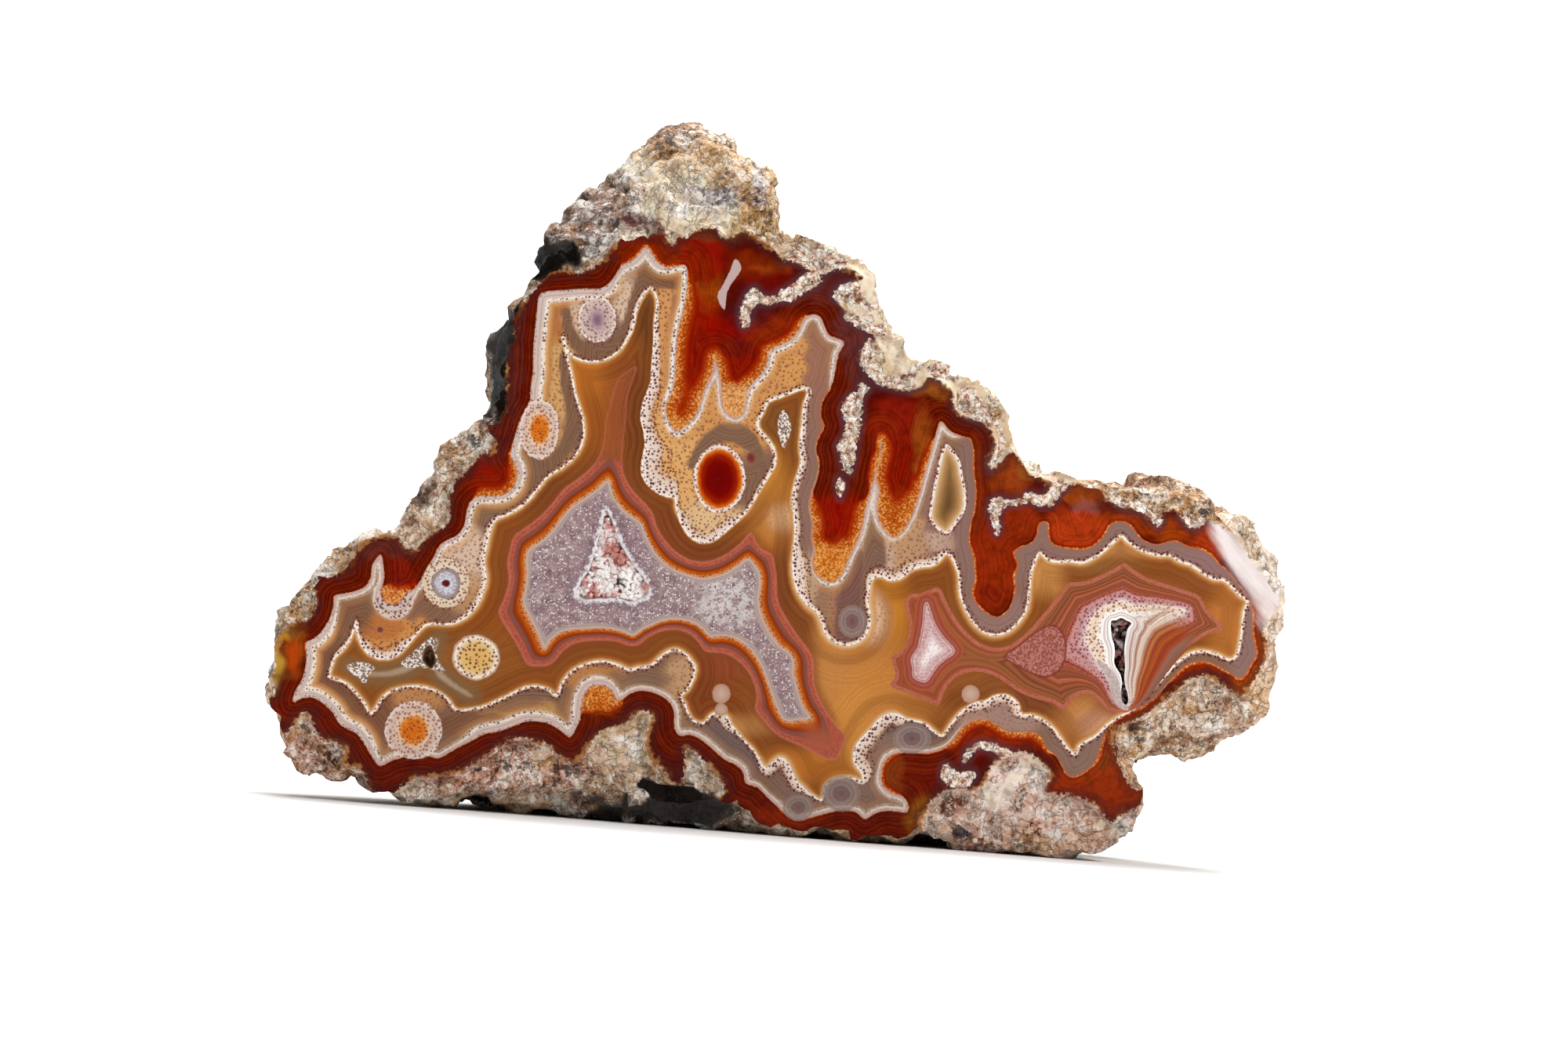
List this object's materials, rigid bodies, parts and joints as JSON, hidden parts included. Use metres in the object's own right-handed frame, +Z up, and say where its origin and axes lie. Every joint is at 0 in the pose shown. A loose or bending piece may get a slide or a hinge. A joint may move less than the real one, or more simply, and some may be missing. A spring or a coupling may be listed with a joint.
{
  "type": "laguna agate nodule half",
  "caption": "Sawn and polished half of a laguna agate nodule, standing on its rough base, with banded chambers in the face and crystal-lined hollows.",
  "frame": {"origin": "Under the middle of the stone's bounding box, on the surface it stands on.", "axes": "+X runs to the right along the polished face, the way the stone is longest. +Z is up. +Y runs from the polished face to the rough back, so the face looks along -Y."},
  "size_m": [0.12, 0.0452, 0.0843],
  "materials": {
    "agate": "polished on the sawn face, rough and weathered elsewhere",
    "milky_quartz": "flat shiny crystal faces",
    "smoky_quartz": "flat shiny crystal faces"
  },
  "bodies": {
    "root": {"nodule": "agate", "core_druse": "milky_quartz", "slit_druse": "smoky_quartz"}
  },
  "joints": []
}
